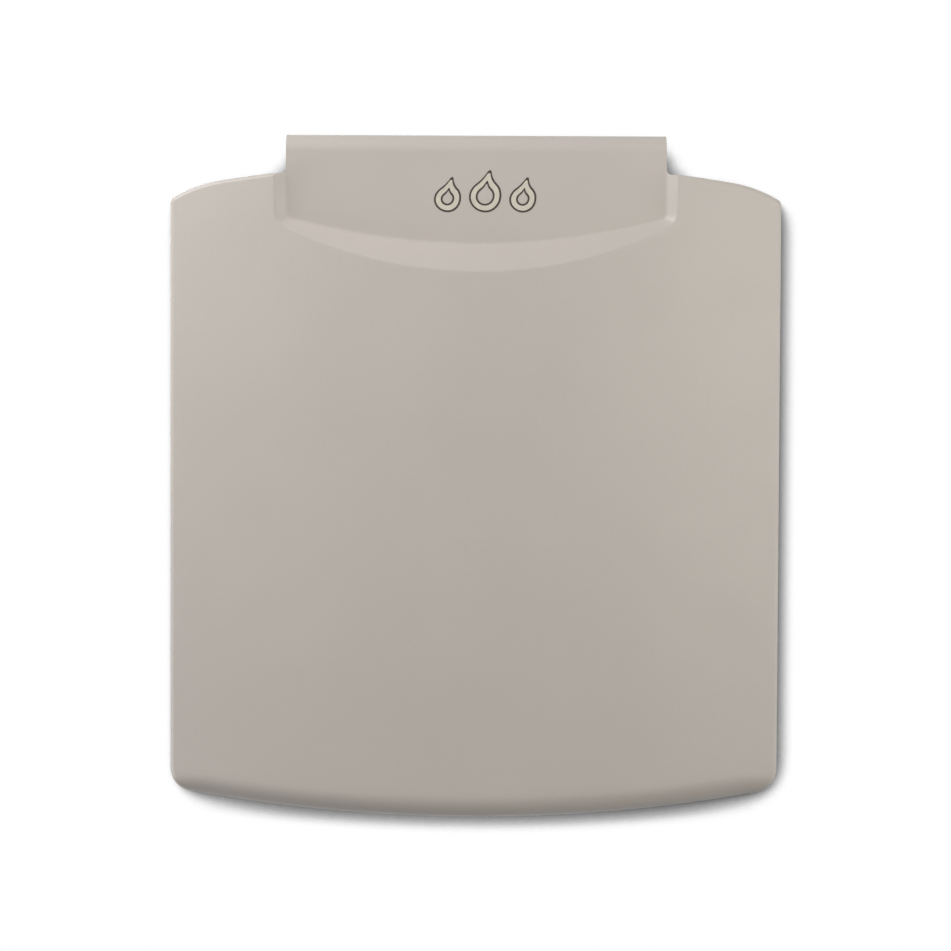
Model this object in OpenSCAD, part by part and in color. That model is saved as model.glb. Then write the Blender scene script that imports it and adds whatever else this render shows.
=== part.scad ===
// Hinged cover of an outside gas outlet, moulded in one piece: a bowed panel with a rolled
// lower edge and a skirt, a sunk hinge tab with sloped walls round it, two bored knuckles
// with a pocket between them for the pin and its return spring, two ribs and a snap ridge.
// X is the width, -Y the front and +Z up. The hinge axis is the X axis.

/* [Panel] */
// Width of the panel
panel_w = 116; // [108:1:124]
// Hinge axis down to the lowest point of the bottom edge
panel_drop = 126; // [112:0.5:140]
// Crown of the front face back to the plane of the rim
panel_depth = 12; // [11:0.5:15]
// Thickness of the moulded wall
wall = 2.4; // [1.8:0.1:2.6]
// Radius of the bowed front face, about an upright axis
face_r = 220; // [190:5:400]

/* [Outline] */
// Radius of the bottom edge's arc
bottom_arc_r = 390; // [300:5:500]
// Radius of the two bottom corners
bottom_corner_r = 5.2; // [4.8:0.1:8]
// Hinge axis down to the panel's top edge beside the tab
top_gap = 4.2; // [4:0.1:6]
// Radius of the top edge's arc
top_arc_r = 320; // [260:5:420]
// Radius of the shoulders that end the top edge
shoulder_r = 26.6; // [20:0.2:32]
// How far a shoulder has turned down where it meets the side
shoulder_turn = 31; // [26:1:36]
// Radius of the corner between a shoulder and the side
shoulder_corner_r = 1.2; // [1.1:0.1:2]

/* [Edges] */
// Radius of the roll along the bottom edge
bottom_roll_r = 4.4; // [3:0.1:4.6]
// Radius of the small rounding all round the face
edge_r = 0.8; // [0.4:0.1:1]

/* [Hinge tab] */
// Width of the tab
tab_w = 71.8; // [60:0.2:78]
// How far the tab is sunk behind the crown of the face
tab_depth = 4.6; // [4.4:0.1:6]
// Hinge axis down to the lowest point of the tab's flat
tab_drop = 17.4; // [14:0.1:24]
// Radius of the arc that ends the tab's flat
tab_arc_r = 132; // [100:1:200]
// Radius of the flat's two lower corners
tab_corner_r = 1; // [0.6:0.1:3]
// Run of the sloped wall below the flat for each millimetre of depth
slope_run = 1.1; // [0.8:0.05:1.4]
// Run of the sloped walls beside the flat for each millimetre of depth
side_run = 1.6; // [1:0.05:1.8]
// Radius between the tab's sides and the panel's top edge
tab_fillet_r = 1; // [0.6:0.1:1.6]

/* [Hinge knuckles] */
// Outer radius of the knuckles, which is also the roll along the tab's top
knuckle_r = 3.2; // [3:0.1:3.8]
// Radius of the bore for a 3 mm hinge pin
bore_r = 1.55; // [1:0.05:1.8]
// Length of each knuckle
knuckle_l = 20; // [12:0.5:26]
// Free room round the pin in the pocket between the knuckles
pin_room = 0.45; // [0.3:0.05:0.6]
// Angle above the back at which the pocket's lip ends
lip_end = 70; // [50:1:100]
// Angle below the back at which the web leaves a knuckle
web_start = 50; // [35:1:60]

/* [Inside] */
// Thickness of the two upright ribs
rib_t = 1.6; // [1:0.1:2.4]
// Centre distance of the two ribs
rib_pitch = 52; // [40:1:64]
// Height of the ribs over the panel's inner face
rib_h = 2; // [1.2:0.1:3]
// How far the ribs' tall ends stay below the rim
rib_below_rim = 1; // [0.5:0.1:2]
// Length of the ribs' run-out below the tab
rib_runout = 14; // [8:1:24]
// Length of the snap ridge inside the bottom edge
ridge_l = 20; // [10:1:40]
// Radius of the snap ridge
ridge_r = 0.9; // [0.6:0.1:1.4]
// Snap ridge back to the rim
ridge_inset = 3; // [2:0.1:3.4]

/* [Hidden] */

plastic = "#b5aea6";
half_w = panel_w / 2;
tab_half = tab_w / 2;
tab_y = -knuckle_r;
crown_y = tab_y - tab_depth;
rim_y = crown_y + panel_depth;
top_z = -top_gap;
bottom_z = -panel_drop;
pocket_r = bore_r + pin_room;

// Least radius of an inner edge, and least straight wall between a roll and the rim
least_r = 0.25;
least_land = 0.6;
// Overshoot of a cut past the surface that it opens, and depth of a seat in the wall
over = 2;
seat = wall / 2;
tab_foot_z = top_z - seat;

// Steps along each stretch of an edge
flat_steps = 16;
arc_steps = 5;
shoulder_steps = 6;
corner_steps = 6;
edge_steps = 4;
roll_steps = 6;
tab_arc_steps = 14;
tab_corner_steps = 4;
knuckle_step = 7.5;
fillet_steps = 6;
bore_fn = 96;

// How far an arc has fallen at a distance from its apex
function sag(r, x) = r - sqrt(r * r - x * x);
// The front face, or the face of the hollow that lies inset behind it
function face_y(x, inset = 0) = crown_y + inset + sag(face_r - inset, x);
// How deep a rounding has fallen at a distance from the edge that it ends at
function rounding(r, d) = d < r ? sag(r, r - max(d, 0)) : 0;
function mix(a, b, t) = a + (b - a) * t;
function reversed(list) = [for (i = [len(list) - 1:-1:0]) list[i]];
function first_left_out(list) = [for (i = [1:len(list) - 1]) list[i]];

// A station of an outline is [[x, z], outward normal, 1 where its rings reach over the roll]
function arc_stations(centre, r, from, to, steps) = [
    for (i = [0:steps])
        let (a = mix(from, to, i / steps), d = [cos(a), sin(a)]) [centre + r * d, d, 0]
];
function mirrored(stations) = [
    for (s = stations) [[-s[0].x, s[0].y], [-s[1].x, s[1].y], s[2]]
];

// Where the sloped side walls of the sunk tab reach the face
slope_reach = side_run * (tab_depth - sag(face_r, tab_half));
flat_half = tab_half + slope_reach;
top_centre = [0, top_z - sqrt(pow(top_arc_r, 2) - pow(flat_half, 2))];
shoulder_x = half_w - shoulder_r * sin(shoulder_turn);
shoulder_centre = [
    shoulder_x,
    top_centre.y + sqrt(pow(top_arc_r - shoulder_r, 2) - pow(shoulder_x, 2))
];
bottom_centre = [0, bottom_z + bottom_arc_r];

// Radius of the corners between shoulders and sides, at an inset from the outline
function corner_radius(inset) = max(shoulder_corner_r - inset, 2 * least_r);

// Right half of the panel's top edge, from the middle out, at an inset from the outline
function top_half(inset) =
    let (
        r = top_arc_r - inset,
        shoulder = shoulder_r - inset,
        q = corner_radius(inset),
        flat_a = asin((top_z - inset - top_centre.y) / r),
        to_shoulder = shoulder_centre - top_centre,
        join_a = atan2(to_shoulder.y, to_shoulder.x),
        corner_x = half_w - inset - q,
        corner_rise = sqrt(pow(shoulder - q, 2) - pow(corner_x - shoulder_x, 2)),
        corner = [corner_x, shoulder_centre.y + corner_rise],
        corner_a = atan2(corner_rise, corner_x - shoulder_x),
        flat_x = r * cos(flat_a)
    )
    concat(
        [for (i = [0:flat_steps - 1]) [[flat_x * i / flat_steps, top_z - inset], [0, 1], 0]],
        arc_stations(top_centre, r, flat_a, join_a, arc_steps),
        first_left_out(arc_stations(shoulder_centre, shoulder, join_a, corner_a, shoulder_steps)),
        first_left_out(arc_stations(corner, q, corner_a, 0, corner_steps))
    );

// Right half of the bottom edge, with its stations under those of the top edge
function bottom_half(inset) =
    let (
        r = bottom_arc_r - inset,
        q = bottom_corner_r - inset,
        corner_x = half_w - inset - q,
        corner_fall = sqrt(pow(r - q, 2) - pow(corner_x, 2)),
        corner = [corner_x, bottom_centre.y - corner_fall],
        corner_a = atan2(-corner_fall, corner_x),
        end_x = r * cos(corner_a),
        top = top_half(inset),
        n = len(top) - 1 - corner_steps,
        top_end = top[n][0].x
    )
    concat(
        [
            for (i = [0:n])
                let (a = -acos(top[i][0].x / top_end * end_x / r), d = [cos(a), sin(a)])
                    [bottom_centre + r * d, d, 1]
        ],
        [
            for (i = [1:corner_steps])
                let (a = mix(corner_a, 0, i / corner_steps), d = [cos(a), sin(a)])
                    [corner + q * d, d, i < corner_steps ? 1 : 0]
        ]
    );

// A ring runs over the top from right to left and back along the bottom, so the point at
// index i has its partner below it at index n - 1 - i
function ring_of(top, bottom) = concat(
    reversed(top), first_left_out(mirrored(top)),
    reversed(mirrored(bottom)), first_left_out(bottom)
);

// Radius of the roll, which keeps a straight land between itself and the rim
function roll_radius(x, inset) =
    min(bottom_roll_r, rim_y - least_land - edge_r - face_y(x)) - inset;

function edge_radius(inset) = max(edge_r - inset, least_r);

// How far inside the outline the rings lie: first round the small edge, then over the roll,
// or close together where there is no roll
function ring_depths(inset, reach) =
    let (
        edge = edge_radius(inset),
        roll = bottom_roll_r - inset,
        start = acos(1 - edge / roll)
    )
    concat(
        [for (k = [0:edge_steps]) edge * (1 - cos(90 * k / edge_steps))],
        [
            for (k = [1:roll_steps])
                let (t = k / roll_steps)
                    mix(
                        mix(edge, corner_radius(inset), t / 2),
                        roll * (1 - cos(mix(start, 90, t))),
                        reach
                    )
        ]
    );

// A point of the front at a depth inside the outline: the bowed face, behind it the roll
// along the bottom edge, and on both the small edge
function front_point(station, inset, depth) =
    let (
        p = station[0] - station[1] * depth,
        to_bottom = bottom_arc_r - inset - norm(p - bottom_centre),
        roll = rounding(roll_radius(p.x, inset), to_bottom),
        edge = rounding(edge_radius(inset), depth)
    )
    [p.x, face_y(p.x, inset) + roll + edge, p.y];

// A closed solid through a stack of rings. Each end is closed by strips between the points
// of the upper half and their partners in the lower half.
module skin(rings) {
    n = len(rings[0]);
    last = len(rings) - 1;
    walls = [
        for (k = [0:last - 1], i = [0:n - 1])
            let (a = k * n + i, b = k * n + (i + 1) % n)
                each [[a, b + n, b], [a, a + n, b + n]]
    ];
    back = [
        for (i = [0:n / 2 - 2])
            let (j = n - 1 - i) each [[i, i + 1, j - 1], [i, j - 1, j]]
    ];
    front = [
        for (i = [0:n / 2 - 2])
            let (a = last * n + i, b = last * n + n - 1 - i)
                each [[a, b - 1, a + 1], [a, b, b - 1]]
    ];
    polyhedron(points = [for (r = rings) each r], faces = concat(walls, back, front));
}

// The panel as a solid block, at an inset from its outer skin, back to a plane
module panel_block(inset, back_y) {
    stations = ring_of(top_half(inset), bottom_half(inset));
    depths = [ring_depths(inset, 0), ring_depths(inset, 1)];
    skin(concat(
        [[for (s = stations) [s[0].x, back_y, s[0].y]]],
        [
            for (k = [0:edge_steps + roll_steps])
                [for (s = stations) front_point(s, inset, depths[s[2]][k])]
        ]
    ));
}

tab_centre = [0, -tab_drop + tab_arc_r];
tab_corner_x = tab_half - tab_corner_r;
tab_corner_fall = sqrt(pow(tab_arc_r - tab_corner_r, 2) - pow(tab_corner_x, 2));
tab_corner = [tab_corner_x, tab_centre.y - tab_corner_fall];
tab_corner_a = atan2(-tab_corner_fall, tab_corner_x);

// The flat's outline, grown downwards and sideways and closed above the tab
function tab_ring(grow, side_grow, y) =
    let (
        arc = arc_stations(tab_centre, tab_arc_r + grow, -90, tab_corner_a, tab_arc_steps),
        corner = arc_stations(tab_corner, tab_corner_r + grow, tab_corner_a, 0, tab_corner_steps),
        lower = [
            for (s = concat(arc, first_left_out(corner)))
                [s[0] + [(side_grow - grow) * pow(s[1].x, 2), 0], s[1], 0]
        ],
        upper = [for (s = lower) [[s[0].x, knuckle_r + over], [0, 1], 0]]
    )
    [for (s = ring_of(upper, lower)) [s[0].x, y, s[0].y]];

// How far a skin behind the corner between flat and slope starts outside it, as a share of
// the distance between the skins
function start_share(run) = sqrt(1 + run * run) - run;

// The space in front of the tab and its sloped walls, or of a skin that lies behind them
module tab_space(behind) {
    low = behind * start_share(slope_run);
    side = behind * start_share(side_run);
    deep = tab_depth + behind + over;
    skin([
        tab_ring(low, side, tab_y + behind),
        tab_ring(low + slope_run * deep, side + side_run * deep, tab_y + behind - deep)
    ]);
}

// Profiles in the YZ plane pulled along X, and in the XZ plane pulled along Y
module along_x(from, to) {
    translate([from, 0, 0])
        rotate([90, 0, 90])
            linear_extrude(to - from)
                children();
}
module along_y(from, to) {
    translate([0, to, 0])
        rotate([90, 0, 0])
            linear_extrude(to - from)
                children();
}

function round_points(r, from, to) =
    let (steps = ceil(abs(to - from) / knuckle_step))
    [for (i = [0:steps]) let (a = mix(from, to, i / steps)) r * [cos(a), sin(a)]];

// Section of a knuckle: the tab's wall runs up into the barrel, and a web closes its back
module knuckle_section() {
    polygon(concat(
        [[tab_y, tab_foot_z]],
        round_points(knuckle_r, 180, -web_start),
        [[knuckle_r * cos(web_start), tab_foot_z]]
    ));
}

// Section of the tab between the knuckles: the same wall, hollowed round the pin
module lip_section() {
    back_y = tab_y + wall;
    polygon(concat(
        [[tab_y, tab_foot_z]],
        round_points(knuckle_r, 180, lip_end),
        round_points(pocket_r, lip_end, 180),
        [[-pocket_r, -pocket_r], [back_y, -2 * pocket_r - back_y], [back_y, tab_foot_z]]
    ));
}

module hinge_tab() {
    inner_x = tab_half - knuckle_l;
    along_x(-tab_half, -inner_x) knuckle_section();
    along_x(-inner_x, inner_x) lip_section();
    along_x(inner_x, tab_half) knuckle_section();
}

// Concave rounding where a side of the tab meets the panel's top edge
module tab_fillet() {
    centre = [tab_half + tab_fillet_r, top_z + tab_fillet_r];
    along_y(tab_y - tab_depth, tab_y + wall)
        polygon(concat(
            [[tab_half - seat, centre.y]],
            [
                for (i = [0:fillet_steps])
                    let (a = 180 + 90 * i / fillet_steps)
                        centre + tab_fillet_r * [cos(a), sin(a)]
            ],
            [[centre.x, top_z - seat], [tab_half - seat, top_z - seat]]
        ));
}

module shell() {
    difference() {
        union() {
            panel_block(0, rim_y);
            hinge_tab();
            tab_fillet();
            mirror([1, 0, 0]) tab_fillet();
        }
        tab_space(0);
        difference() {
            panel_block(wall, rim_y + over);
            tab_space(wall);
        }
    }
}

// A rib stands in the middle of the wall, from the top of the skirt to the bottom
module rib(x) {
    front = face_y(x);
    tab_z = tab_centre.y - sqrt(pow(tab_arc_r, 2) - pow(x, 2));
    step_z = tab_z - seat * start_share(slope_run);
    face_z = step_z - slope_run * (tab_y - front);
    foot_z = bottom_centre.y - sqrt(pow(bottom_arc_r, 2) - pow(x, 2));
    tall_y = rim_y - rib_below_rim;
    low_y = face_y(x, wall) + rib_h;
    along_x(x - rib_t / 2, x + rib_t / 2)
        polygon([
            [tab_y + seat, top_z - seat],
            [tab_y + seat, step_z],
            [front + seat, face_z],
            [front + seat, foot_z + bottom_roll_r],
            [front + bottom_roll_r, foot_z + seat],
            [low_y, foot_z + seat],
            [low_y, face_z - rib_runout],
            [tall_y, face_z],
            [tall_y, top_z - seat]
        ]);
}

// Half-round ridge on the bottom wall, which clicks behind the frame's edge
module snap_ridge() {
    translate([-ridge_l / 2, rim_y - ridge_inset, bottom_z + wall])
        rotate([0, 90, 0])
            cylinder(r = ridge_r, h = ridge_l, $fn = 48);
}

module hinge_bore() {
    translate([-half_w, 0, 0])
        rotate([0, 90, 0])
            cylinder(r = bore_r, h = panel_w, $fn = bore_fn);
}

module cover() {
    color(plastic)
        difference() {
            union() {
                shell();
                rib(-rib_pitch / 2);
                rib(rib_pitch / 2);
                snap_ridge();
            }
            hinge_bore();
        }
}

cover();
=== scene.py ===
# %% [markdown]
# # A moulded cover for an outside gas outlet
#
# The real cover is one injection moulding in warm grey plastic. Its face is bowed like a
# shallow slice of a barrel, its lower edge rolls back into a skirt, and a hinge tab is sunk
# into its top behind a sloped step.
#
# The CAD solid already has this form, and it is kept but hidden. For the picture it is
# modelled again here with Blender's own tools, so that every surface shades smoothly and the
# small radii of a real moulding catch the light.

import math

import bmesh
import bpy
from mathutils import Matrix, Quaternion, Vector


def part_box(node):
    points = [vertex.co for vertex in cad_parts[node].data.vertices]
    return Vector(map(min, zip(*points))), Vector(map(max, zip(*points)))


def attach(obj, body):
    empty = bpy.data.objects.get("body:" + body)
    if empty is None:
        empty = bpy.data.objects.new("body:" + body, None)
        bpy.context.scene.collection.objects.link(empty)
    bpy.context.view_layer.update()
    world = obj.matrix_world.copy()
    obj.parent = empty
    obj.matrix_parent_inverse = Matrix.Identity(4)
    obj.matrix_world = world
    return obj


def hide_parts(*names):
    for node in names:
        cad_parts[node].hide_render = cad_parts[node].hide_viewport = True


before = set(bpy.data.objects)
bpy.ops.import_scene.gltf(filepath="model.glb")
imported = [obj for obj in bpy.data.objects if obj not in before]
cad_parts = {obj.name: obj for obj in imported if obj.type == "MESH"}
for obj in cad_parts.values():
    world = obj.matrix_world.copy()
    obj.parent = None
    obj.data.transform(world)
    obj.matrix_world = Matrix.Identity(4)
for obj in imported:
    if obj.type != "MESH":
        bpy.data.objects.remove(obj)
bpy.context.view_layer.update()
print("nodes in the frame:", len(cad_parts))

# %% [markdown]
# ## The cover's box
#
# The box of the CAD node gives the width, the crown of the face, the plane of the rim, the
# lowest point and the radius of the hinge barrel. All other sizes are those of the moulding's
# drawing, in millimetres, and each one is written where it is first needed. Seen from the
# front, X runs to the right and Z runs up. The face looks along -Y, and the hinge axis is X.

# %% Sizes from the frame
MM = 0.001
box_low, box_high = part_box("cover")
HALF_W = box_high[0] / MM
CROWN_Y = box_low[1] / MM
RIM_Y = box_high[1] / MM
BOTTOM_Z = box_low[2] / MM
KNUCKLE_R = box_high[2] / MM
print(f"half width {HALF_W:.1f}, crown {CROWN_Y:.1f}, rim {RIM_Y:.1f}, lowest point {BOTTOM_Z:.1f} mm")

# %% [markdown]
# ## Drawing with one vertex
#
# An outline is drawn the way a modeller would draw it by hand: a plane is merged to a single
# vertex, the vertex is extruded along each straight line, and it is spun about a centre for
# each arc. A stroke is therefore either a point to go to, or a centre, an angle and a number
# of steps. A curve object could do the same, but a chain of vertices has exactly the points
# that the strokes give it. Seen from the front, a positive angle turns anticlockwise.

# %% The pen
SAME = 0.001  # mm: drawn points closer than this are one
FRONT = {"place": lambda u, v: Vector((u, 0, v)) * MM, "axis": (0, 1, 0)}
SIDE = {"place": lambda u, v: Vector((0, u, v)) * MM, "axis": (-1, 0, 0)}


def draw(name, plane, start, strokes):
    """Draws a chain of edges on a plane and stays in edit mode with all of it selected."""
    bpy.ops.object.select_all(action="DESELECT")
    bpy.ops.mesh.primitive_plane_add(size=MM, enter_editmode=True)
    bpy.context.object.name = name
    bpy.ops.mesh.merge(type="CENTER")
    bpy.ops.transform.translate(value=plane["place"](*start))
    at = start
    for stroke in strokes:
        if len(stroke) == 2:
            step = plane["place"](*stroke) - plane["place"](*at)
            bpy.ops.mesh.extrude_vertices_move(TRANSFORM_OT_translate={"value": step})
            at = stroke
        else:
            centre, turn, steps = stroke
            bpy.ops.mesh.spin(
                steps=steps, angle=math.radians(turn), center=plane["place"](*centre), axis=plane["axis"]
            )
            u, v = at[0] - centre[0], at[1] - centre[1]
            c, s = math.cos(math.radians(turn)), math.sin(math.radians(turn))
            at = (centre[0] + u * c - v * s, centre[1] + u * s + v * c)
    bpy.ops.mesh.select_all(action="SELECT")
    bpy.ops.mesh.remove_doubles(threshold=SAME * MM)
    return bpy.context.object

# %% [markdown]
# A symmetric outline needs only its right half. The half is copied, mirrored over X = 0 and
# welded, and a face over the whole outline is pulled to a solid. Mirroring turns faces inside
# out, so the last step always turns them outwards again.

# %% Mirror, pull and close
def mirror_half():
    """Mirrors the half that was drawn over X = 0 and welds it."""
    bpy.ops.mesh.duplicate()
    bpy.ops.transform.mirror(constraint_axis=(True, False, False), center_override=(0, 0, 0))
    bpy.ops.mesh.select_all(action="SELECT")
    bpy.ops.mesh.remove_doubles(threshold=SAME * MM)


def pull(step):
    """Extrudes what is selected by a step in millimetres."""
    bpy.ops.mesh.extrude_region_move(TRANSFORM_OT_translate={"value": Vector(step) * MM})


def close():
    """Turns all faces outwards and leaves edit mode."""
    bpy.ops.mesh.select_all(action="SELECT")
    bpy.ops.mesh.normals_make_consistent(inside=False)
    bpy.ops.object.mode_set(mode="OBJECT")
    return bpy.context.object

# %% [markdown]
# ## The panel's outline
#
# From the middle of the top edge the outline runs level across the tab, then down a wide arc,
# round a shoulder and a tight corner into the straight side, and round the lower corner along
# the bow of the lower edge. The hollow inside has the same outline at an inset of one wall, so
# one function draws both, and the wall is equally thick all round, as a moulding needs to cool
# evenly.
#
# The level stretch is as wide as the step round the sunk tab, and that width depends on how
# deep the tab lies behind the bowed face. So the bow of the face comes first.

# %% Bow of the face
FACE_R = 220


def sag(radius, x):
    """How far an arc has fallen at a distance from its apex."""
    return radius - math.sqrt(radius**2 - x**2)


def face_y(x, inset=0):
    """The bowed face, or the face of the hollow behind it."""
    return CROWN_Y + inset + sag(FACE_R - inset, x)


print(f"the face falls back {sag(FACE_R, HALF_W):.1f} mm towards its sides")

# %% Width of the sunk tab
TAB_HALF = 35.9
TAB_Y = -KNUCKLE_R
SIDE_RUN = 1.6  # how far a side wall of the step runs out for each mm of depth
FLAT_HALF = TAB_HALF + SIDE_RUN * (TAB_Y - face_y(TAB_HALF))
print(f"the tab lies {TAB_Y - CROWN_Y:.1f} mm behind the crown, and its step is {2 * FLAT_HALF:.1f} mm wide")

# %% Arcs of the outline
TOP_Z = -4.2
TOP_ARC_R = 320
SHOULDER_R = 26.6
SHOULDER_TURN = 31
SHOULDER_CORNER_R = 1.2
BOTTOM_ARC_R = 390
BOTTOM_CORNER_R = 5.2
LEAST_R = 0.25  # the mould has no smaller radius
ARC_STEPS = {"top": 4, "shoulder": 12, "shoulder corner": 4, "bottom corner": 14, "bottom": 28}

TOP_CENTRE = (0, TOP_Z - math.sqrt(TOP_ARC_R**2 - FLAT_HALF**2))
SHOULDER_X = HALF_W - SHOULDER_R * math.sin(math.radians(SHOULDER_TURN))
SHOULDER_CENTRE = (SHOULDER_X, TOP_CENTRE[1] + math.sqrt((TOP_ARC_R - SHOULDER_R) ** 2 - SHOULDER_X**2))
BOTTOM_CENTRE = (0, BOTTOM_Z + BOTTOM_ARC_R)
print(f"the shoulder turns about a point {SHOULDER_X:.1f} mm out and {-SHOULDER_CENTRE[1]:.1f} mm down")
print(f"the lower edge rises {sag(BOTTOM_ARC_R, HALF_W):.1f} mm towards its corners")

# %% Outline strokes
def panel_outline(inset):
    """Start and strokes of the right half, from the top middle clockwise to the bottom middle."""
    side = HALF_W - inset
    radius = TOP_ARC_R - inset
    corner_r = max(SHOULDER_CORNER_R - inset, 2 * LEAST_R)
    flat_a = math.asin((TOP_Z - inset - TOP_CENTRE[1]) / radius)
    join_a = math.atan2(SHOULDER_CENTRE[1] - TOP_CENTRE[1], SHOULDER_X)
    reach = side - corner_r - SHOULDER_X
    rise = math.sqrt((SHOULDER_R - inset - corner_r) ** 2 - reach**2)
    corner_a = math.atan2(rise, reach)
    low_x = HALF_W - BOTTOM_CORNER_R
    fall = math.sqrt((BOTTOM_ARC_R - BOTTOM_CORNER_R) ** 2 - low_x**2)
    low_corner, low_a = (low_x, BOTTOM_CENTRE[1] - fall), math.degrees(math.atan2(-fall, low_x))
    return (0, TOP_Z - inset), [
        (radius * math.cos(flat_a), TOP_Z - inset),
        (TOP_CENTRE, math.degrees(join_a - flat_a), ARC_STEPS["top"]),
        (SHOULDER_CENTRE, math.degrees(corner_a - join_a), ARC_STEPS["shoulder"]),
        ((side - corner_r, SHOULDER_CENTRE[1] + rise), -math.degrees(corner_a), ARC_STEPS["shoulder corner"]),
        (side, low_corner[1]),
        (low_corner, low_a, ARC_STEPS["bottom corner"]),
        (BOTTOM_CENTRE, -90 - low_a, ARC_STEPS["bottom"]),
    ]

# %% [markdown]
# ## The edge
#
# A moulding has no sharp outer edge. The block gets a small radius all round its front by a
# Bevel modifier, which reads from each edge whether it belongs to that outline. Inside, where
# the same radius would be less than nothing, the least radius of the mould takes its place.

# %% Rounding by weight
AHEAD = 0.9  # a face looks forward from this share of its normal on
ASIDE = 0.1  # and to the side below this share


def pick(obj):
    """Selects one object alone and makes it the active one."""
    bpy.ops.object.select_all(action="DESELECT")
    obj.select_set(True)
    bpy.context.view_layer.objects.active = obj


def apply(obj, modifier):
    """Applies a modifier to an object."""
    pick(obj)
    bpy.ops.object.modifier_apply(modifier=modifier.name)


def round_edges(obj, radius, segments, chosen):
    """Rounds the edges for which chosen(its faces by how far they look forward) holds."""
    mesh = bmesh.new()
    mesh.from_mesh(obj.data)
    weight = mesh.edges.layers.float.new("bevel_weight_edge")
    for edge in mesh.edges:
        edge[weight] = chosen(*sorted(edge.link_faces, key=lambda face: face.normal.y))
    mesh.to_mesh(obj.data)
    mesh.free()
    bevel = obj.modifiers.new("round", "BEVEL")
    bevel.limit_method = "WEIGHT"
    bevel.width = radius * MM
    bevel.segments = segments
    bevel.use_clamp_overlap = False
    apply(obj, bevel)
    obj.data.attributes.remove(obj.data.attributes["bevel_weight_edge"])


def front_outline(front, wall):
    """The edges between the front of a block and its side walls."""
    return front.normal.y < -AHEAD and abs(wall.normal.y) < ASIDE

# %% [markdown]
# ## Bowing and rolling
#
# The panel is modelled flat first, because a flat outline is easy to round. Bisect planes give
# it a grid, and then every point in front of the rim is pushed back: by the sag of a 220 mm
# arc, so the face becomes a slice of a barrel, and near the lower edge by a quarter circle of
# 4.4 mm, which is the soft roll that the light shows there. The rolled edge runs on to the
# sides, where the lower corners simply cut it off. Its radius gives way only where a straight
# land would no longer be left between the roll and the rim.
#
# The lower edge is an arc, so rows cut straight across would meet it at a slant. The flat
# panel is therefore stretched until that edge is straight, cut, and let go again.

# %% Rows that follow the lower edge
def stretch(x, z, inset, way):
    """Height after bending the lower edge straight (way 1), or after letting it go (way -1)."""
    low = BOTTOM_Z + inset
    share = sag(BOTTOM_ARC_R - inset, x) / (TOP_Z - low)
    if way == 1:
        return (z - share * TOP_Z) / (1 - share)
    return z + share * (TOP_Z - z)


def stretch_mesh(obj, inset, way):
    """Bends a whole mesh by that rule."""
    for vert in obj.data.vertices:
        vert.co.z = stretch(vert.co.x / MM, vert.co.z / MM, inset, way) * MM

# %% [markdown]
# The strips across the bow are 2 mm wide, and no strip ends at the step's side walls, which
# come later. A cut that runs close beside an edge leaves slivers, and slivers shade badly. The
# rows are close together in the roll and far apart above it, where the face is straight.

# %% Strips and rows
BOTTOM_ROLL_R = 4.4
STRIP = 2
STRIPS_END = 55
ROW = 4
ROWS_END = -30
ROLL_ROWS = (45, 56, 67.5, 79, 90)  # degrees round the roll
ROW_OVER_ROLL = 1.25  # height of the next row, as a share of the roll's radius
SNAP = 0.15  # mm: a cut this close to a point goes through it


def cut_grid(obj, inset):
    """Cuts strips and rows with planes, without new points close to old ones."""
    roll = BOTTOM_ROLL_R - inset
    low = BOTTOM_Z + inset
    rows = [low + roll * (1 - math.cos(math.radians(a))) for a in ROLL_ROWS]
    rows += [low + ROW_OVER_ROLL * roll, *range(round(low + roll + ROW), ROWS_END + 1, ROW)]
    planes = [((x, 0, 0), (1, 0, 0)) for x in range(-STRIPS_END, STRIPS_END + 1, STRIP)]
    planes += [((0, 0, z), (0, 0, 1)) for z in rows]
    pick(obj)
    bpy.ops.object.mode_set(mode="EDIT")
    for place, normal in planes:
        bpy.ops.mesh.select_all(action="SELECT")
        bpy.ops.mesh.bisect(plane_co=Vector(place) * MM, plane_no=normal, threshold=SNAP * MM)
    bpy.ops.object.mode_set(mode="OBJECT")

# %% Bow and roll
SLACK = 0.01  # mm: places closer than this count as the same
EDGE_R = 0.8
LEAST_LAND = 0.6  # straight plastic between the roll and the rim


def push_back(x, z, inset):
    """How far the bow and the roll push a point of the flat front back."""
    roll = min(BOTTOM_ROLL_R, RIM_Y - LEAST_LAND - EDGE_R - face_y(x)) - inset
    depth = BOTTOM_ARC_R - inset - math.hypot(x, z - BOTTOM_CENTRE[1])
    depth = 0 if depth < SLACK else min(depth, roll)
    return sag(FACE_R - inset, x) + sag(roll, roll - depth)


def measure(obj):
    """Faces, open edges and volume of a mesh, to see that a step went well."""
    mesh = bmesh.new()
    mesh.from_mesh(obj.data)
    loose = sum(not edge.is_manifold for edge in mesh.edges)
    volume = mesh.calc_volume(signed=True) / MM**3
    print(f"{obj.name}: {len(mesh.faces)} faces, {loose} open edges, {volume:.0f} mm3")
    mesh.free()

# %% [markdown]
# ## Panel and hollow
#
# A moulding is a thin wall, 2.4 mm here. Solidify could thicken a sheet, but it would make the
# small radii uneven and leave the rim to repair. So one function builds two solid blocks, the
# outer skin and the hollow at an inset of one wall, and the hollow is cut out of the panel later.
# It runs on behind the rim, so that the cut leaves the back open.

# %% Panel and hollow
WALL = 2.4
EDGE_SEGMENTS = 6
BEHIND_RIM = 20


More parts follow.
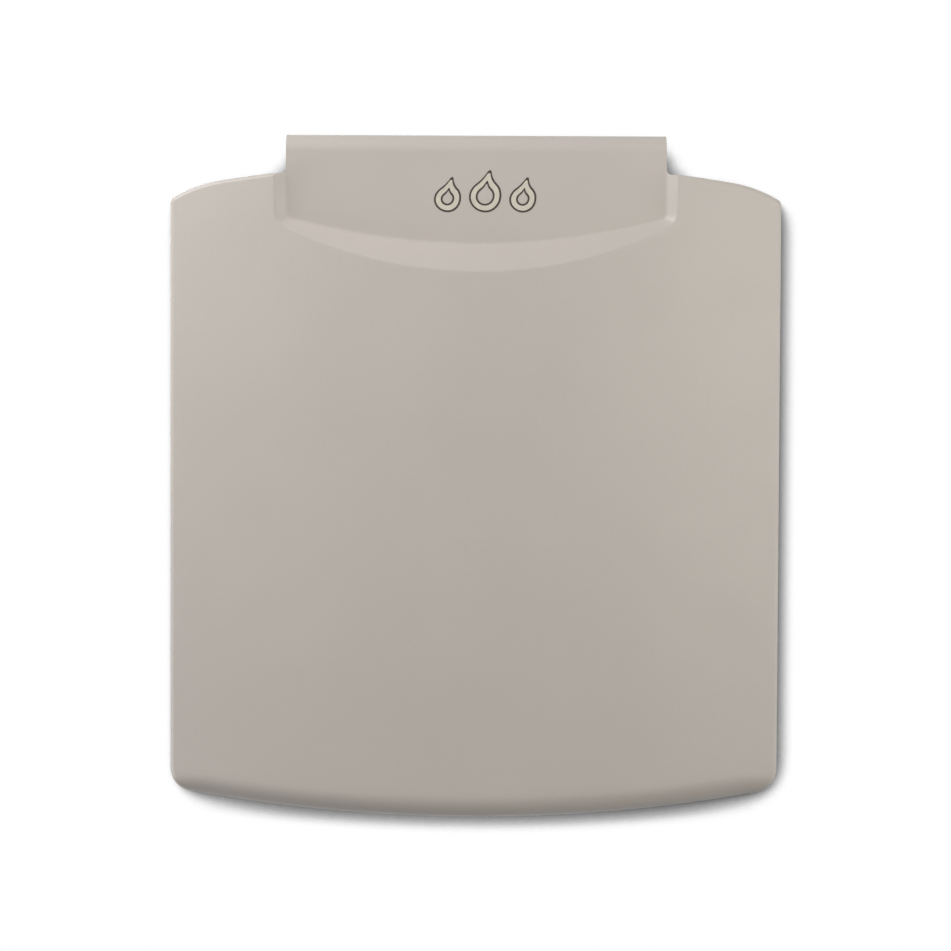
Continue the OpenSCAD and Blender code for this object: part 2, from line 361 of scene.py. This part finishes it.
def bowed_block(name, inset, back_y):
    """The panel as a solid block at an inset from its outer skin, back to a plane."""
    draw(name, FRONT, *panel_outline(inset))
    mirror_half()
    bpy.ops.mesh.edge_face_add()
    bpy.ops.transform.translate(value=(0, (CROWN_Y + inset) * MM, 0))
    pull((0, back_y - CROWN_Y - inset, 0))
    block = close()
    round_edges(block, max(EDGE_R - inset, LEAST_R), EDGE_SEGMENTS, front_outline)
    stretch_mesh(block, inset, 1)
    cut_grid(block, inset)
    stretch_mesh(block, inset, -1)
    for vert in block.data.vertices:
        if vert.co.y < (back_y - SLACK) * MM:
            vert.co.y += push_back(vert.co.x / MM, vert.co.z / MM, inset) * MM
    measure(block)
    return block


panel = bowed_block("moulding", 0, RIM_Y)
hollow = bowed_block("hollow", WALL, RIM_Y + BEHIND_RIM)

# %% [markdown]
# ## The sunk tab
#
# The tab lies 4.6 mm behind the crown, and sloped walls lead down to it. The space in front
# of it is a tray: its outline is drawn at the front, where it is widest, and an inset with
# depth gives the wall the same slope all round. The two side walls are less steep, so their
# share of every point is moved out a little more. The corner between slope and flat gets a
# small radius on the tray, which leaves a fillet in the plastic.
#
# The same tray, grown back by one wall, is what the hollow behind the tab must stay clear of.

# %% Outline of the step
TAB_DROP = 17.4
TAB_ARC_R = 132
TAB_CORNER_R = 1
SLOPE_RUN = 1.1  # how far the slope below the tab runs out for each mm of depth

TAB_CENTRE = (0, -TAB_DROP + TAB_ARC_R)
CORNER_X = TAB_HALF - TAB_CORNER_R
TAB_CORNER = (CORNER_X, TAB_CENTRE[1] - math.sqrt((TAB_ARC_R - TAB_CORNER_R) ** 2 - CORNER_X**2))
print(f"the foot of the step is {TAB_DROP} mm below the hinge axis, and its corners {-TAB_CORNER[1]:.1f} mm")


def start_share(run):
    """Where a skin behind the corner of flat and slope starts, as a share of its distance."""
    return math.sqrt(1 + run**2) - run


def widen(obj, y, grow, side_grow):
    """Moves the points at a depth sideways by how far the outline there faces the side."""
    for vert in obj.data.vertices:
        if abs(vert.co.y / MM - y) < SLACK:
            x = abs(vert.co.x / MM)
            facing = max((x - CORNER_X) / (TAB_CORNER_R + grow), x / (TAB_ARC_R + grow))
            vert.co.x += math.copysign((side_grow - grow) * facing**2 * MM, vert.co.x)

# %% Space in front of the tab
ABOVE = 30  # the space reaches well above the hinge
FRONT_ROOM = 2  # and starts in front of the crown
CORNER_STEPS, ARC_BELOW_STEPS = 5, 18


def tray(name, behind):
    """The space in front of the tab, or the same space grown back by one wall."""
    depth = TAB_Y - CROWN_Y + behind + FRONT_ROOM
    low, side = behind * start_share(SLOPE_RUN), behind * start_share(SIDE_RUN)
    grow = low + SLOPE_RUN * depth
    turned = math.degrees(math.atan2(TAB_CORNER[1] - TAB_CENTRE[1], CORNER_X))
    end = TAB_HALF + grow
    corner = (TAB_CORNER, turned, CORNER_STEPS)
    arc = (TAB_CENTRE, -90 - turned, ARC_BELOW_STEPS)
    strokes = [(end, ABOVE), (end, TAB_CORNER[1]), corner, arc]
    draw(name, FRONT, (0, ABOVE), strokes)
    mirror_half()
    bpy.ops.mesh.edge_face_add()
    back = TAB_Y + behind
    bpy.ops.transform.translate(value=(0, (back - depth) * MM, 0))
    pull((0, 0, 0))
    bpy.ops.mesh.inset(thickness=SLOPE_RUN * depth * MM, depth=-depth * MM, use_even_offset=True)
    space = close()
    widen(space, back, low, side)
    widen(space, back - depth, grow, side + SIDE_RUN * depth)
    return space

# %% [markdown]
# ## The hinge
#
# The tab ends in a barrel that the hinge pin runs through. Only its two ends are full
# knuckles. Between them the barrel is hollowed and open at the back, so that a return spring
# fits round the pin, and only a lip with the tab's rounded top is left. All three are sections
# in the side view, pulled along the hinge axis.

# %% Sections along the hinge
BARREL_STEPS = 24
SEAT = WALL / 2  # how deep a section reaches into the plastic that it joins
FOOT_Z = TOP_Z - SEAT


def bar(name, x0, x1, start, strokes):
    """A section drawn in the side view, seen from the right, and pulled along X."""
    draw(name, SIDE, start, [*strokes, start])
    bpy.ops.mesh.edge_face_add()
    bpy.ops.transform.translate(value=(x0 * MM, 0, 0))
    pull((x1 - x0, 0, 0))
    return close()

# %% Knuckle
KNUCKLE_L = 20
WEB_START = 50  # degrees below the axis, where the web leaves the barrel


def knuckle(side):
    """One full knuckle and the web that closes its back."""
    web = math.radians(WEB_START)
    ends = sorted((side * TAB_HALF, side * (TAB_HALF - KNUCKLE_L)))
    barrel = ((0, 0), -180 - WEB_START, 2 * BARREL_STEPS)
    return bar("knuckle", *ends, (TAB_Y, FOOT_Z), [(TAB_Y, 0), barrel, (KNUCKLE_R * math.cos(web), FOOT_Z)])

# %% Lip over the spring
POCKET_R = 2
LIP_END = 70  # degrees above the axis, where the lip ends behind the pin


def lip():
    """The tab's wall and the lip over the spring pocket."""
    back_y = TAB_Y + WALL
    end = math.radians(LIP_END)
    strokes = [
        (TAB_Y, 0),
        ((0, 0), LIP_END - 180, BARREL_STEPS),
        (POCKET_R * math.cos(end), POCKET_R * math.sin(end)),
        ((0, 0), 180 - LIP_END, BARREL_STEPS),
        (-POCKET_R, -POCKET_R),
        (back_y, -2 * POCKET_R - back_y),
        (back_y, FOOT_Z),
    ]
    return bar("lip", -TAB_HALF, TAB_HALF, (TAB_Y, FOOT_Z), strokes)

# %% [markdown]
# Where the tab leaves the panel's top edge, a sharp inner corner would crack. A fillet of
# 1 mm fills it on both sides. Then everything is joined to the panel by Boolean unions.

# %% Root fillets
TAB_FILLET_R = 1
FILLET_STEPS = 6


def root_fillet(side):
    """Fills the corner between a side of the tab and the panel's top edge."""
    x, z = TAB_HALF + TAB_FILLET_R, TOP_Z + TAB_FILLET_R
    root = (side * (TAB_HALF - SEAT), z)
    strokes = [
        (side * TAB_HALF, z),
        ((side * x, z), side * 90, FILLET_STEPS),
        (side * x, FOOT_Z),
        (side * (TAB_HALF - SEAT), FOOT_Z),
        root,
    ]
    draw("fillet", FRONT, root, strokes)
    bpy.ops.mesh.edge_face_add()
    bpy.ops.transform.translate(value=(0, CROWN_Y * MM, 0))
    pull((0, TAB_Y + WALL - CROWN_Y, 0))
    return close()

# %% Join
def combine(obj, tool, operation):
    """Joins a tool to a solid or cuts it away, and removes the tool."""
    join = obj.modifiers.new(operation.lower(), "BOOLEAN")
    join.operation = operation
    join.solver = "MANIFOLD"
    join.object = tool
    apply(obj, join)
    bpy.data.objects.remove(tool)


for piece in (lip(), knuckle(-1), knuckle(1), root_fillet(-1), root_fillet(1)):
    measure(piece)
    combine(panel, piece, "UNION")
measure(panel)

# %% [markdown]
# ## Cutting the step and the hollow
#
# The tray is cut away from the panel, and the hollow is cut out behind it. The order matters
# for the small radius along the top of the step: it is bevelled while the panel is still a
# plain block, when its edge is easy to find, since one of its faces lies on the bow and the
# other slopes down to the tab. On the real cover both edges of the step are this crisp.

# %% Cut the step
TRAY_FILLET_R = 0.4
TRAY_FILLET_SEGMENTS = 4
STEP_EDGE_R = 0.35
STEP_EDGE_SEGMENTS = 3
SQUARE = 0.01  # a normal this close to the front's counts as square to it
SLOPE_AHEAD = 0.5  # the slopes look forward by more than this share
STEP_HALF, STEP_LOW = FLAT_HALF + 1, -40  # no face of the step lies outside this width or below


def at_back(front, back):
    """The edges between the tray's slopes and its flat."""
    return abs(abs(back.normal.y) - 1) < SQUARE and abs(front.normal.y) < AHEAD


def top_of_step(front, wall):
    """The edges between the bowed face and the slopes that lead down to the tab."""
    bowed, sloped = (face.calc_center_median() / MM for face in (front, wall))
    on_face = abs(bowed.y - face_y(bowed.x)) < SLACK and front.normal.y < -AHEAD
    in_step = abs(sloped.x) < STEP_HALF and sloped.z > STEP_LOW
    return on_face and in_step and -AHEAD < wall.normal.y < -SLOPE_AHEAD


space = tray("space", 0)
round_edges(space, TRAY_FILLET_R, TRAY_FILLET_SEGMENTS, at_back)
measure(space)
combine(panel, space, "DIFFERENCE")
round_edges(panel, STEP_EDGE_R, STEP_EDGE_SEGMENTS, top_of_step)
measure(panel)

# %% [markdown]
# The hollow has to stay one wall behind the sunk tab as well. So the space in front of the tab,
# grown back by a wall, is first taken out of the hollow, and only then is the hollow cut out of
# the panel. What is left follows every form of the outside at one thickness.

# %% Cut the hollow
combine(hollow, tray("filler", WALL), "DIFFERENCE")
measure(hollow)
combine(panel, hollow, "DIFFERENCE")
measure(panel)

# %% [markdown]
# ## Ribs
#
# A thin bowed panel would warp, so such covers have upright ribs on the inside. They are tall
# behind the tab, where the hinge pulls, and run out to a low height below it. The section is
# drawn in the side view and reaches half a wall into the plastic all round, so the union has
# no gap and no faces that lie on each other.

# %% Ribs
RIB_T = 1.6
RIB_X = 26
RIB_H = 2
RIB_BELOW_RIM = 1
RIB_RUNOUT = 14  # length over which a rib runs out to its low height


def rib(x):
    """An upright rib from the top of the skirt to the bottom, tall behind the tab."""
    front = face_y(x)
    tab_z = TAB_CENTRE[1] - math.sqrt(TAB_ARC_R**2 - x**2)
    step_z = tab_z - SEAT * start_share(SLOPE_RUN)
    face_z = step_z - SLOPE_RUN * (TAB_Y - front)
    foot_z = BOTTOM_CENTRE[1] - math.sqrt(BOTTOM_ARC_R**2 - x**2) + SEAT
    tall_y = RIM_Y - RIB_BELOW_RIM
    low_y = face_y(x, WALL) + RIB_H
    strokes = [
        (TAB_Y + SEAT, step_z),
        (front + SEAT, face_z),
        (front + SEAT, foot_z + BOTTOM_ROLL_R),
        (front + BOTTOM_ROLL_R, foot_z),
        (low_y, foot_z),
        (low_y, face_z - RIB_RUNOUT),
        (tall_y, face_z),
        (tall_y, FOOT_Z),
    ]
    return bar("rib", x - RIB_T / 2, x + RIB_T / 2, (TAB_Y + SEAT, FOOT_Z), strokes)


combine(panel, rib(-RIB_X), "UNION")
combine(panel, rib(RIB_X), "UNION")
measure(panel)

# %% [markdown]
# ## Snap ridge and bore
#
# A low ridge inside the lower edge clicks over the outlet's frame. It is a round bar that
# stands out of the skirt by less than its radius. The bore for the hinge pin is one long bar
# that is cut away from both knuckles at once, so that they are in line.

# %% Snap ridge and bore
RIDGE_L = 20
RIDGE_R = 0.9
RIDGE_INSET = 3
RIDGE_SIDES = 32
BORE_R = 1.55
BORE_SIDES = 64


def rod(name, radius, length, y, z, sides):
    """A round bar along X."""
    bpy.ops.object.select_all(action="DESELECT")
    bpy.ops.mesh.primitive_cylinder_add(
        vertices=sides,
        radius=radius * MM,
        depth=length * MM,
        location=(0, y * MM, z * MM),
        rotation=(0, math.radians(90), 0),
    )
    bpy.context.object.name = name
    return bpy.context.object


ridge = rod("ridge", RIDGE_R, RIDGE_L, RIM_Y - RIDGE_INSET, BOTTOM_Z + WALL, RIDGE_SIDES)
combine(panel, ridge, "UNION")
combine(panel, rod("bore", BORE_R, 2 * HALF_W, 0, 0, BORE_SIDES), "DIFFERENCE")
measure(panel)

# %% [markdown]
# ## Smooth shading
#
# The unions and cuts leave a few points almost on top of each other, so they are welded. The
# faces then shade smoothly wherever they meet at less than 30 degrees. Weighted normals let the
# large faces decide how the surface shades, so the bowed face stays calm next to the narrow
# faces of its radii, as on a real moulding.

# %% Weld and shade
SLIVER = 0.01  # mm: narrower faces are welded away
SMOOTH_ANGLE = 30
LARGE_FACES_FIRST = 100


def weld(obj):
    """Merges points that lie almost on each other, such as the slivers that a cut leaves."""
    pick(obj)
    bpy.ops.object.mode_set(mode="EDIT")
    bpy.ops.mesh.select_all(action="SELECT")
    bpy.ops.mesh.remove_doubles(threshold=SLIVER * MM)
    bpy.ops.mesh.dissolve_degenerate(threshold=SLIVER * MM)
    bpy.ops.object.mode_set(mode="OBJECT")


def shade(obj):
    """Smooth shading, with the large faces deciding the normals."""
    pick(obj)
    bpy.ops.object.shade_smooth_by_angle(angle=math.radians(SMOOTH_ANGLE))
    weighted = obj.modifiers.new("weighted normals", "WEIGHTED_NORMAL")
    weighted.keep_sharp = True
    weighted.weight = LARGE_FACES_FIRST
    apply(obj, weighted)


weld(panel)
measure(panel)
shade(panel)
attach(panel, "root")
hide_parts("cover")

# %% [markdown]
# ## The mark on the tab
#
# Such a cover carries a small pad print on its tab: a cream stroke between two thin dark lines,
# about 20 mm wide in all. Here it is three plain flames, which say what is behind the cover.
#
# Ink could be a colour in the plastic's material, but a print has an edge and lies a few
# hundredths of a millimetre proud, so it is made as thin sheets. One flame is an arc round its
# foot, a hollow arc up to its tip and a small arc round the tip, mirrored. The same outline
# with a smaller foot radius gives the next line inside it.

# %% Flame outline
MARK_X = 1.7  # the print sits a little to the right of the middle
MARK_FOOT_Z = -11.4
FLAME_WAIST = 50  # degrees above the widest part of the foot, where the hollow arc begins
FLAME_TIP = 20  # degrees at which the hollow arc meets the tip
FLAME_HOLLOW = 1.8  # radius of the hollow arc, as a share of the foot's
FLAME_STEPS = {"belly": 20, "neck": 10, "tip": 6}
INK_DEEP = 0.05
FLAME_LEAN = 1.6  # mm of sway, for a height of 1
FLAME_STRAIGHT = 0.45  # share of the height below which it hardly sways


def flame(name, radius, foot, proud):
    """A closed sheet with a flame's outline, from just under the tab's face to just proud."""
    waist, tip = math.radians(FLAME_WAIST), math.radians(FLAME_TIP)
    hollow_r = FLAME_HOLLOW * radius
    centre = (0, foot + radius)
    far = ((radius + hollow_r) * math.cos(waist), centre[1] + (radius + hollow_r) * math.sin(waist))
    tip_x = far[0] - hollow_r * math.cos(tip)
    tip_centre = (0, far[1] - hollow_r * math.sin(tip) - tip_x * math.tan(tip))
    belly = (centre, 90 + FLAME_WAIST, FLAME_STEPS["belly"])
    neck = (far, FLAME_TIP - FLAME_WAIST, FLAME_STEPS["neck"])
    draw(name, FRONT, (0, foot), [belly, neck, (tip_centre, 90 - FLAME_TIP, FLAME_STEPS["tip"])])
    mirror_half()
    bpy.ops.mesh.edge_face_add()
    bpy.ops.transform.translate(value=(0, (TAB_Y + INK_DEEP) * MM, 0))
    pull((0, -INK_DEEP - proud, 0))
    return close()


def lean(obj, x, size):
    """Sways a flame to the side towards its tip and puts it in its place."""
    for vert in obj.data.vertices:
        height = vert.co.z / MM / size
        vert.co.x += (x + FLAME_LEAN * (height**2 - FLAME_STRAIGHT * height)) * MM
        vert.co.z += MARK_FOOT_Z * MM

# %% [markdown]
# Each flame is drawn at four insets: the outer edge of the dark line, the cream stroke, the
# inner dark line and the window, where the plastic shows. The window is cut out of both sheets,
# and the cream sheet stands a little prouder than the dark one behind it. Each flame is then
# swayed towards its tip. The three flames of a colour are one object in the end, because they
# are one print.

# %% Rings of ink
FLAMES = ((-7.1, 2.55), (0, 3.05), (7.1, 2.55))
FLAME_RISE = 2.6  # height of a flame, as a share of its foot's radius
LINE = 0.36
STROKE = 0.9
INK_PROUD = {"line": 0.03, "fill": 0.05}
WINDOW_PROUD = 4  # how many times prouder the cutter stands than its sheet


def ring(name, radius, start, end, proud):
    """A flame outline at one inset with the same outline at a deeper inset cut out of it."""
    outer = flame(name, radius - start, start, proud)
    combine(outer, flame("window", radius - end, end, WINDOW_PROUD * proud), "DIFFERENCE")
    return outer


def join(name, pieces):
    """One object out of several."""
    bpy.ops.object.select_all(action="DESELECT")
    for piece in pieces:
        piece.select_set(True)
    bpy.context.view_layer.objects.active = pieces[0]
    bpy.ops.object.join()
    bpy.context.object.name = name
    return bpy.context.object

# %% Print the flames
lines, fills = [], []
for place, radius in FLAMES:
    line = ring("line", radius, 0, 2 * LINE + STROKE, INK_PROUD["line"])
    fill = ring("fill", radius, LINE, LINE + STROKE, INK_PROUD["fill"])
    for sheet in (line, fill):
        lean(sheet, MARK_X + place, FLAME_RISE * radius)
    lines.append(line)
    fills.append(fill)
mark_line, mark_fill = join("mark_line", lines), join("mark_fill", fills)
for mark in (mark_line, mark_fill):
    measure(mark)
    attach(mark, "root")

# %% [markdown]
# ## Plastic
#
# The cover is coloured right through. It is a warm grey weather-proof plastic, moulded against
# finely eroded steel, which leaves a matte grain of a third of a millimetre. A flat colour would
# look like paper, so noises are laid on it by object coordinates: the pigment drifts by a per
# cent or two over the wide face, handling has left the surface a little smoother in places, and
# the grain is a bump that speckles the colour as well. Object coordinates stay with the piece
# when it moves.

# %% Shader and noise
NOISE_LOW, NOISE_HIGH = 0.3, 0.7  # nearly all of a noise lies between these


def material(name, colour, roughness):
    """A new material with a plain shader, and its node tree."""
    new = bpy.data.materials.new(name)
    new.use_nodes = True
    shader = new.node_tree.nodes["Principled BSDF"]
    shader.inputs["Base Color"].default_value = (*colour, 1)
    shader.inputs["Roughness"].default_value = roughness
    return new, new.node_tree, shader


def noise(tree, feature, detail, low, high):
    """A noise with features of a size in millimetres, some octaves, and two values to run between."""
    place = tree.nodes.new("ShaderNodeTexCoord")
    texture = tree.nodes.new("ShaderNodeTexNoise")
    texture.inputs["Scale"].default_value = 1 / (feature * MM)
    texture.inputs["Detail"].default_value = detail
    spread = tree.nodes.new("ShaderNodeMapRange")
    spread.inputs["From Min"].default_value = NOISE_LOW
    spread.inputs["From Max"].default_value = NOISE_HIGH
    spread.inputs["To Min"].default_value = low
    spread.inputs["To Max"].default_value = high
    tree.links.new(place.outputs["Object"], texture.inputs["Vector"])
    tree.links.new(texture.outputs["Fac"], spread.inputs["Value"])
    return spread.outputs["Result"]

# %% Tint and bump
def chain(tree, operation, *values):
    """Joins several values by one Math operation, such as their product or the largest of them."""
    result = values[0]
    for value in values[1:]:
        node = tree.nodes.new("ShaderNodeMath")
        node.operation = operation
        tree.links.new(result, node.inputs[0])
        tree.links.new(value, node.inputs[1])
        result = node.outputs["Value"]
    return result


def tint(tree, shader, colour, *shares):
    """Multiplies a colour by noises and feeds the shader's base colour."""
    share = chain(tree, "MULTIPLY", *shares)
    scale = tree.nodes.new("ShaderNodeVectorMath")
    scale.operation = "SCALE"
    scale.inputs[0].default_value = colour
    tree.links.new(share, scale.inputs["Scale"])
    tree.links.new(scale.outputs["Vector"], shader.inputs["Base Color"])


def bump(tree, shader, height, depth):
    """Feeds a height between 0 and 1 to the shader's normal, with a depth in millimetres."""
    node = tree.nodes.new("ShaderNodeBump")
    node.inputs["Distance"].default_value = depth * MM
    tree.links.new(height, node.inputs["Height"])
    tree.links.new(node.outputs["Normal"], shader.inputs["Normal"])


def clothe(obj, finish):
    """Gives a piece one material."""
    obj.data.materials.clear()
    obj.data.materials.append(finish)
    print(obj.name, "is finished in", finish.name)

# %% Warm grey plastic
# Each noise: size of its features in mm, octaves, and the two values that it runs between.
PLASTIC = (0.462, 0.423, 0.381)
PLASTIC_ROUGHNESS = 0.46
PIGMENT = (22, 3, 0.985, 1.015)
SPECKLE = (0.32, 2, 0.985, 1.015)
HANDLING = (9, 4, 0.43, 0.49)
GRAIN = (0.32, 2, 0, 1)
GRAIN_DEPTH = 0.008

plastic, tree, shader = material("warm grey plastic", PLASTIC, PLASTIC_ROUGHNESS)
tint(tree, shader, PLASTIC, noise(tree, *PIGMENT), noise(tree, *SPECKLE))
tree.links.new(noise(tree, *HANDLING), shader.inputs["Roughness"])
bump(tree, shader, noise(tree, *GRAIN), GRAIN_DEPTH)
clothe(panel, plastic)

# %% [markdown]
# ## Ink
#
# Pad printing ink dries to a thin, slightly glossier film than the grained plastic, and its
# cover is never quite even. The cream stroke shows a little of the ground where the ink is
# thin, and the dark lines are a soft brown rather than black.

# %% Cream and brown ink
CREAM = (0.56, 0.515, 0.43)
BROWN = (0.03, 0.022, 0.017)
INK_ROUGHNESS = 0.4
INK_CLOUD = (1.2, 3, 0.93, 1.05)
INK_GLOSS = (1.2, 2, 0.36, 0.48)
INK_GRAIN_DEPTH = 0.004

for mark, name, colour in ((mark_fill, "cream ink", CREAM), (mark_line, "brown ink", BROWN)):
    ink, tree, shader = material(name, colour, INK_ROUGHNESS)
    tint(tree, shader, colour, noise(tree, *INK_CLOUD))
    tree.links.new(noise(tree, *INK_GLOSS), shader.inputs["Roughness"])
    bump(tree, shader, noise(tree, *GRAIN), INK_GRAIN_DEPTH)
    clothe(mark, ink)

# %% [markdown]
# ## Camera
#
# The cover was photographed almost square from the front, from 0.6 m away and a little above.
# The lens follows from that distance and from the width that the frame takes in at the cover.
# The small turns were found by fitting the outline to the photograph.

# %% Place and lens
IMAGE = 951
MM_PER_PIXEL = 0.1891
DISTANCE = 600
SENSOR = 36
AIM = (0.06, -4, -61.05)  # the point in the middle of the frame, mm
PITCH, YAW, ROLL = 2.7, -0.56, 0.2465

camera_data = bpy.data.cameras.new("camera")
camera_data.sensor_width = SENSOR
camera_data.lens = SENSOR * DISTANCE / (IMAGE * MM_PER_PIXEL)
camera = bpy.data.objects.new("camera", camera_data)
bpy.context.scene.collection.objects.link(camera)
pitch, yaw = math.radians(PITCH), math.radians(YAW)
back = Vector((math.sin(yaw) * math.cos(pitch), -math.cos(yaw) * math.cos(pitch), math.sin(pitch)))
camera.location = (Vector(AIM) + back * DISTANCE) * MM
camera.rotation_mode = "QUATERNION"
camera.rotation_quaternion = (-back).to_track_quat("-Z", "Y") @ Quaternion((0, 0, 1), math.radians(ROLL))
bpy.context.scene.camera = camera
print(f"lens {camera_data.lens:.0f} mm, from", [round(1000 * c) for c in camera.location])

# %% [markdown]
# ## Wall and floor
#
# The cover lies against white, with a narrow soft shadow beside its right and lower edges. A
# plain wall stands just behind the rim, and a plain pale floor lies well below. The camera sees
# both white or nearly white, by Light Path's rays, so that the lamps only have to light the
# cover at a plain level.
#
# The narrow shadow is painted shade, and no lamp casts it: Ambient Occlusion with a reach of 6.5 mm,
# turned towards the upper left, where the light comes from, darkens the wall's own glow. A power
# deepens it beside the cover, and a lift lets it end in plain white after 2 to 3 mm. The wall is
# open from behind, so it hides nothing in back views, and it lets all other light through.

# %% Rays, mix and surface
def seen_rays(tree):
    """1 for the rays that look straight at a surface, or see it in gloss or through glass."""
    path = tree.nodes.new("ShaderNodeLightPath").outputs
    return chain(tree, "MAXIMUM", path["Is Camera Ray"], path["Is Glossy Ray"], path["Is Transmission Ray"])


def blend(tree, share, first, second):
    """Two shaders mixed by a share."""
    mixed = tree.nodes.new("ShaderNodeMixShader")
    for socket, output in zip(mixed.inputs, (share, first.outputs[0], second.outputs[0])):
        tree.links.new(output, socket)
    return mixed


def surface(name):
    """A new material without a shader, its node tree and the output's socket."""
    new = bpy.data.materials.new(name)
    new.use_nodes = True
    tree = new.node_tree
    tree.nodes.remove(tree.nodes["Principled BSDF"])
    return new, tree, tree.nodes["Material Output"].inputs["Surface"]

# %% White wall with a painted shadow
# the painted shadow beside the cover: reach in mm, direction, samples, depth and lift
SHADE_REACH = 6.5
SHADE_FROM = (-0.3, -0.85, 0.45)  # left, forward and up
SHADE_SAMPLES = 16
SHADE_DEPTH = 3.75
SHADE_LIFT = 3.1


def wall_with_painted_shadow():
    """White where the camera sees its front, with a painted shadow close beside the cover, and open
    otherwise.
    """
    new, tree, out = surface("white wall with painted shadow")
    # painted shadow: occlusion darkens the wall's glow beside the cover, where no lamp casts a shadow
    near = tree.nodes.new("ShaderNodeAmbientOcclusion")
    near.inputs["Distance"].default_value = SHADE_REACH * MM
    near.samples = SHADE_SAMPLES
    towards = tree.nodes.new("ShaderNodeCombineXYZ")
    for axis, share in zip("XYZ", SHADE_FROM):
        towards.inputs[axis].default_value = share
    tree.links.new(towards.outputs["Vector"], near.inputs["Normal"])
    deeper = tree.nodes.new("ShaderNodeMath")
    deeper.operation = "POWER"
    deeper.inputs[1].default_value = SHADE_DEPTH
    level = tree.nodes.new("ShaderNodeMath")
    level.operation = "MULTIPLY"
    level.inputs[1].default_value = SHADE_LIFT
    level.use_clamp = True
    tree.links.new(near.outputs["AO"], deeper.inputs[0])
    tree.links.new(deeper.outputs["Value"], level.inputs[0])
    white = tree.nodes.new("ShaderNodeEmission")
    tree.links.new(level.outputs["Value"], white.inputs["Strength"])
    front = blend(tree, seen_rays(tree), tree.nodes.new("ShaderNodeBsdfTransparent"), white)
    behind = tree.nodes.new("ShaderNodeNewGeometry").outputs["Backfacing"]
    wall = blend(tree, behind, front, tree.nodes.new("ShaderNodeBsdfTransparent"))
    tree.links.new(wall.outputs[0], out)
    return new

# %% [markdown]
# The floor is grey to the lamps, so that it throws little light back up at the cover. Where the
# camera looks, a glow is added to that grey, which makes it nearly white. The lamps still light
# the grey under the glow, so a shadow on the floor stays visible.

# %% Pale floor
FLOOR_GLOW = 0.93
THROWN_BACK = 0.1


def pale_floor():
    """Nearly white to the camera, with the cover's shadow, and grey to all other light."""
    new, tree, out = surface("pale floor")
    glow, grey = tree.nodes.new("ShaderNodeEmission"), tree.nodes.new("ShaderNodeBsdfDiffuse")
    glow.inputs["Strength"].default_value = FLOOR_GLOW
    grey.inputs["Color"].default_value = (THROWN_BACK, THROWN_BACK, THROWN_BACK, 1)
    white = tree.nodes.new("ShaderNodeAddShader")
    tree.links.new(glow.outputs[0], white.inputs[0])
    tree.links.new(grey.outputs[0], white.inputs[1])
    tree.links.new(blend(tree, seen_rays(tree), grey, white).outputs[0], out)
    return new

# %% Stand the wall and lay the floor
WALL_GAP = 0.25
FLOOR_Z = -600
STAGE = 4000


def stage_plane(name, place, turn, finish):
    """A large square that belongs to the stage."""
    bpy.ops.object.select_all(action="DESELECT")
    bpy.ops.mesh.primitive_plane_add(size=STAGE * MM, location=Vector(place) * MM, rotation=turn)
    bpy.context.object.name = name
    bpy.context.object.data.materials.append(finish)
    print(name, "at", [round(c, 2) for c in place], "mm")


stage_plane("wall", (0, RIM_Y + WALL_GAP, 0), (math.radians(90), 0, 0), wall_with_painted_shadow())
stage_plane("floor", (0, 0, FLOOR_Z), (0, 0, 0), pale_floor())

# %% [markdown]
# ## Light
#
# The photograph's shading tells where its lamps stood. The face fades from top to bottom, so
# one lamp is close and high. The step's right wall is brighter than its left one, so the main
# lamp is on the left. Both sides of the bowed face are brighter than its middle, which only
# gloss can do, so weak lamps stand far out to the sides, and a soft one on the right fills in.
# A lamp behind lights the inside, which the front view doesn't show. None of them is strong: a
# colour on the cover renders about as it is written. The fill is a little warmer than the rest,
# as in the photograph.

# %% Lamps
# Each lamp: azimuth and elevation in degrees, distance and width in mm, watts and colour.
COOL, WARM = (0.96, 0.965, 1), (1, 0.965, 0.91)
LAMPS = {
    "main lamp": (-60, 40, 350, 200, 0.9, COOL),
    "fill lamp": (40, 10, 350, 200, 0.52, WARM),
    "left side lamp": (-80, -20, 1300, 300, 7.7, COOL),
    "right side lamp": (75, 0, 900, 300, 2.1, COOL),
    "back lamp": (-160, 15, 900, 500, 8, COOL),
}
LIT = Vector((0, 0, -60))


def lamp(name, azimuth, elevation, distance, size, power, colour):
    """A round soft lamp that looks at the cover from a direction and a distance."""
    light = bpy.data.lights.new(name, "AREA")
    light.shape = "DISK"
    light.size = size * MM
    light.energy = power
    light.color = colour
    obj = bpy.data.objects.new(name, light)
    bpy.context.scene.collection.objects.link(obj)
    a, e = math.radians(azimuth), math.radians(elevation)
    way = Vector((math.sin(a) * math.cos(e), -math.cos(a) * math.cos(e), math.sin(e)))
    obj.visible_camera = False
    obj.location = (LIT + way * distance) * MM
    obj.rotation_mode = "QUATERNION"
    obj.rotation_quaternion = (-way).to_track_quat("-Z", "Y")


for name, values in LAMPS.items():
    lamp(name, *values)
print(len(LAMPS), "lamps")

# %% [markdown]
# The room around is white to the camera. As a light it is weak and comes from all sides, so that
# no form turns dark, while the lamps still shape the cover. The Standard view keeps the colours
# as they are written.

# %% Room and view
ROOM = 0.35

world = bpy.data.worlds.new("room")
bpy.context.scene.world = world
world.use_nodes = True
tree = world.node_tree
strength = tree.nodes.new("ShaderNodeMapRange")
strength.inputs["To Min"].default_value = ROOM
strength.inputs["To Max"].default_value = 1
tree.links.new(seen_rays(tree), strength.inputs["Value"])
tree.links.new(strength.outputs["Result"], tree.nodes["Background"].inputs["Strength"])
tree.nodes["Background"].inputs["Color"].default_value = (1, 1, 1, 1)
bpy.context.scene.view_settings.view_transform = "Standard"
print(f"the room lights the cover at {ROOM} and shows white")
